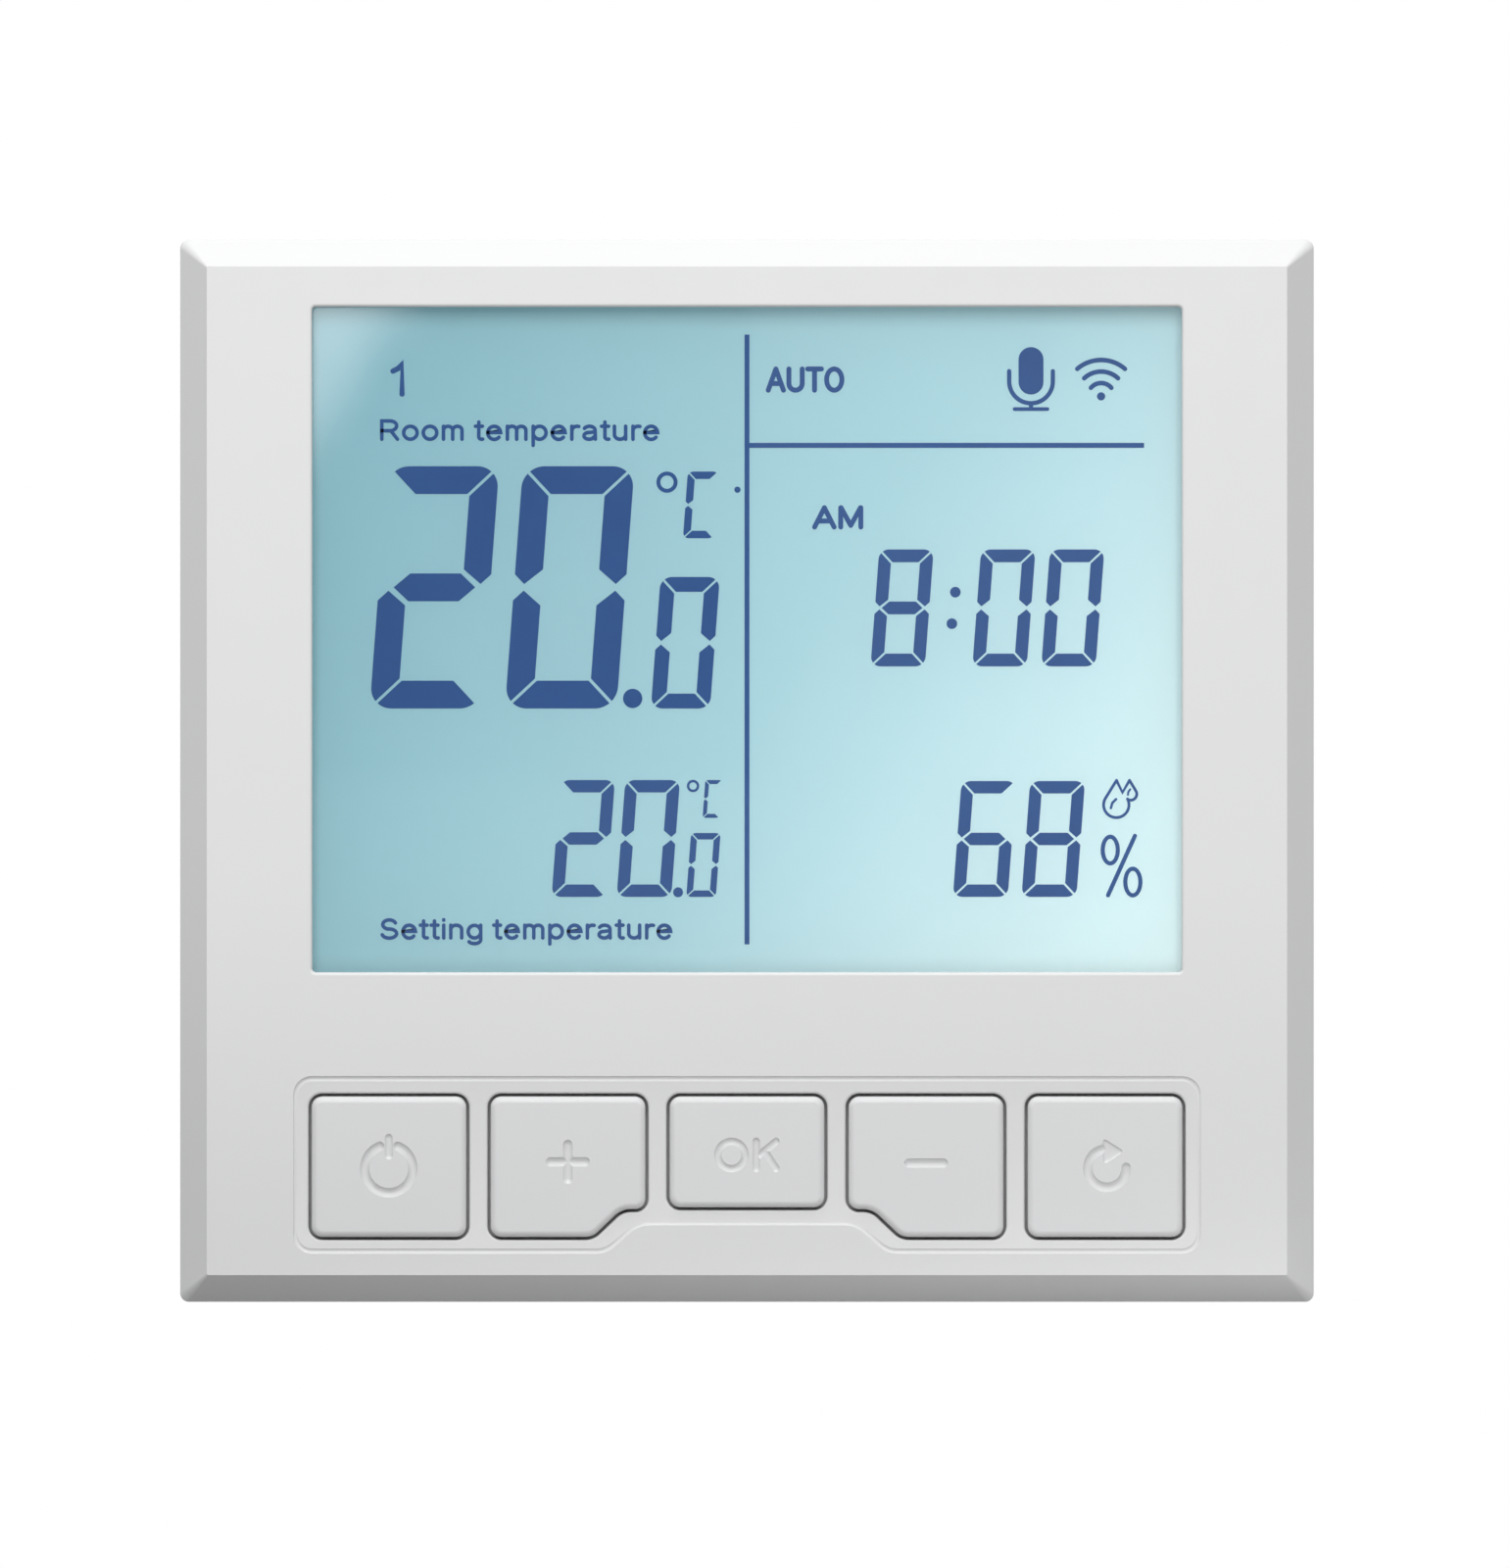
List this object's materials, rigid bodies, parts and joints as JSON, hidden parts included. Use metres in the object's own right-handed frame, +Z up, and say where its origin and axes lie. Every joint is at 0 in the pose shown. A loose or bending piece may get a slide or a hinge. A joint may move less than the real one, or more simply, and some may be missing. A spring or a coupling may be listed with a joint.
{
  "type": "wall thermostat",
  "caption": "Wall thermostat with a large segment display and a row of keys, whose front module pulls off a steel plate and a rear power housing for a flush wall box.",
  "frame": {"origin": "centre of the two wall-box screw slots, on the wall's surface", "axes": "+Z up, +Y into the wall, +X to the right as the front is seen, so the front faces -Y"},
  "size_m": [0.0918, 0.0432, 0.086],
  "materials": {
    "white_shell": "fine satin",
    "white_key": "fine satin",
    "clear_lens": "clear, hard-coated acrylic",
    "tape": "matt",
    "lcd_glass": "clear",
    "polarizer": "smooth film",
    "light_sheet": "white film",
    "light_guide": "clear acrylic",
    "white_lamp": "white package, phosphor window",
    "holder_white": "white moulding",
    "contact_rubber": "striped silicone",
    "circuit_board": "green solder mask",
    "chip_black": "moulded epoxy",
    "switch_black": "moulded",
    "plunger_black": "moulded",
    "shield_metal": "tinned",
    "cell_steel": "polished",
    "gold_pin": "gold flash",
    "black_moulding": "moulded",
    "screw_zinc": "zinc plated",
    "plate_steel": "zinc plated",
    "spring_steel": "stainless",
    "housing_plastic": "fine spark texture",
    "lid_plastic": "moulded",
    "relay_case": "smooth",
    "ferrite": "dull",
    "coil_tape": "polyester tape",
    "capacitor_sleeve": "printed sleeve",
    "varistor_coat": "epoxy",
    "fuse_body": "glass tube, nickel caps",
    "terminal_plastic": "moulded",
    "contact_brass": "tinned",
    "clamp_steel": "zinc plated",
    "display_ink": "dark figures inside the display"
  },
  "bodies": {
    "wall_base": {"mounting_plate": "plate_steel", "latch_springs": "spring_steel", "power_housing": "housing_plastic", "housing_lid": "lid_plastic", "housing_screws": "screw_zinc", "power_board": "circuit_board", "board_socket": "black_moulding", "relay": "relay_case", "transformer_core": "ferrite", "transformer_coil": "coil_tape", "supply_capacitors": "capacitor_sleeve", "varistor": "varistor_coat", "fuse_link": "fuse_body", "terminal_block": "terminal_plastic", "contact_plates": "contact_brass"},
    "front_module": {"front_cover": "white_shell", "display_lens": "clear_lens", "lens_tape": "tape", "lcd_glass": "lcd_glass", "lcd_polarizers": "polarizer", "backlight_sheets": "light_sheet", "backlight_guide": "light_guide", "backlight_leds": "white_lamp", "lcd_holder": "holder_white", "contact_strip": "contact_rubber", "control_board": "circuit_board", "switch_bodies": "switch_black", "controller_chip": "chip_black", "wireless_board": "circuit_board", "wireless_shield": "shield_metal", "air_sensor": "chip_black", "backup_cell": "cell_steel", "cell_clip": "shield_metal", "pin_header": "black_moulding", "header_pins": "gold_pin", "board_screws": "screw_zinc", "back_cover": "lid_plastic", "case_screws": "screw_zinc"},
    "key_power": {"key_power": "white_key", "plunger_power": "plunger_black"},
    "key_plus": {"key_plus": "white_key", "plunger_plus": "plunger_black"},
    "key_ok": {"key_ok": "white_key", "plunger_ok": "plunger_black"},
    "key_minus": {"key_minus": "white_key", "plunger_minus": "plunger_black"},
    "key_reset": {"key_reset": "white_key", "plunger_reset": "plunger_black"},
    "wire_clamp_1": {"wire_clamp_1": "clamp_steel"},
    "terminal_screw_1": {"terminal_screw_1": "screw_zinc"},
    "wire_clamp_2": {"wire_clamp_2": "clamp_steel"},
    "terminal_screw_2": {"terminal_screw_2": "screw_zinc"},
    "wire_clamp_3": {"wire_clamp_3": "clamp_steel"},
    "terminal_screw_3": {"terminal_screw_3": "screw_zinc"},
    "wire_clamp_4": {"wire_clamp_4": "clamp_steel"},
    "terminal_screw_4": {"terminal_screw_4": "screw_zinc"},
    "wire_clamp_5": {"wire_clamp_5": "clamp_steel"},
    "terminal_screw_5": {"terminal_screw_5": "screw_zinc"},
    "wire_clamp_6": {"wire_clamp_6": "clamp_steel"},
    "terminal_screw_6": {"terminal_screw_6": "screw_zinc"}
  },
  "joints": [
    {"name": "front_release", "type": "slide", "parent": "wall_base", "child": "front_module", "axis": [0, -1, 0], "range_m": [0, 0.045], "deforming": ["latch_springs"]},
    {"name": "key_power_press", "type": "slide", "parent": "front_module", "child": "key_power", "axis": [0, 1, 0], "range_m": [0, 0.0003], "stiffness_N_per_m": 2500},
    {"name": "key_plus_press", "type": "slide", "parent": "front_module", "child": "key_plus", "axis": [0, 1, 0], "range_m": [0, 0.0003], "stiffness_N_per_m": 2500},
    {"name": "key_ok_press", "type": "slide", "parent": "front_module", "child": "key_ok", "axis": [0, 1, 0], "range_m": [0, 0.0003], "stiffness_N_per_m": 2500},
    {"name": "key_minus_press", "type": "slide", "parent": "front_module", "child": "key_minus", "axis": [0, 1, 0], "range_m": [0, 0.0003], "stiffness_N_per_m": 2500},
    {"name": "key_reset_press", "type": "slide", "parent": "front_module", "child": "key_reset", "axis": [0, 1, 0], "range_m": [0, 0.0003], "stiffness_N_per_m": 2500},
    {"name": "terminal_screw_1_turn", "type": "hinge", "parent": "wall_base", "child": "terminal_screw_1", "pos_m": [-0.019, 0.014, -0.0246], "axis": [0, -1, 0], "range_deg": [0, 1080]},
    {"name": "wire_clamp_1_rise", "type": "slide", "parent": "wall_base", "child": "wire_clamp_1", "axis": [0, 1, 0], "range_m": [0, 0.0018]},
    {"name": "terminal_screw_2_turn", "type": "hinge", "parent": "wall_base", "child": "terminal_screw_2", "pos_m": [-0.0114, 0.014, -0.0246], "axis": [0, -1, 0], "range_deg": [0, 1080]},
    {"name": "wire_clamp_2_rise", "type": "slide", "parent": "wall_base", "child": "wire_clamp_2", "axis": [0, 1, 0], "range_m": [0, 0.0018]},
    {"name": "terminal_screw_3_turn", "type": "hinge", "parent": "wall_base", "child": "terminal_screw_3", "pos_m": [-0.0038, 0.014, -0.0246], "axis": [0, -1, 0], "range_deg": [0, 1080]},
    {"name": "wire_clamp_3_rise", "type": "slide", "parent": "wall_base", "child": "wire_clamp_3", "axis": [0, 1, 0], "range_m": [0, 0.0018]},
    {"name": "terminal_screw_4_turn", "type": "hinge", "parent": "wall_base", "child": "terminal_screw_4", "pos_m": [0.0038, 0.014, -0.0246], "axis": [0, -1, 0], "range_deg": [0, 1080]},
    {"name": "wire_clamp_4_rise", "type": "slide", "parent": "wall_base", "child": "wire_clamp_4", "axis": [0, 1, 0], "range_m": [0, 0.0018]},
    {"name": "terminal_screw_5_turn", "type": "hinge", "parent": "wall_base", "child": "terminal_screw_5", "pos_m": [0.0114, 0.014, -0.0246], "axis": [0, -1, 0], "range_deg": [0, 1080]},
    {"name": "wire_clamp_5_rise", "type": "slide", "parent": "wall_base", "child": "wire_clamp_5", "axis": [0, 1, 0], "range_m": [0, 0.0018]},
    {"name": "terminal_screw_6_turn", "type": "hinge", "parent": "wall_base", "child": "terminal_screw_6", "pos_m": [0.019, 0.014, -0.0246], "axis": [0, -1, 0], "range_deg": [0, 1080]},
    {"name": "wire_clamp_6_rise", "type": "slide", "parent": "wall_base", "child": "wire_clamp_6", "axis": [0, 1, 0], "range_m": [0, 0.0018]}
  ],
  "couplings": [
    {"joint": "terminal_screw_1_turn", "follows": "wire_clamp_1_rise", "rad_per_m": 10472},
    {"joint": "terminal_screw_2_turn", "follows": "wire_clamp_2_rise", "rad_per_m": 10472},
    {"joint": "terminal_screw_3_turn", "follows": "wire_clamp_3_rise", "rad_per_m": 10472},
    {"joint": "terminal_screw_4_turn", "follows": "wire_clamp_4_rise", "rad_per_m": 10472},
    {"joint": "terminal_screw_5_turn", "follows": "wire_clamp_5_rise", "rad_per_m": 10472},
    {"joint": "terminal_screw_6_turn", "follows": "wire_clamp_6_rise", "rad_per_m": 10472}
  ]
}
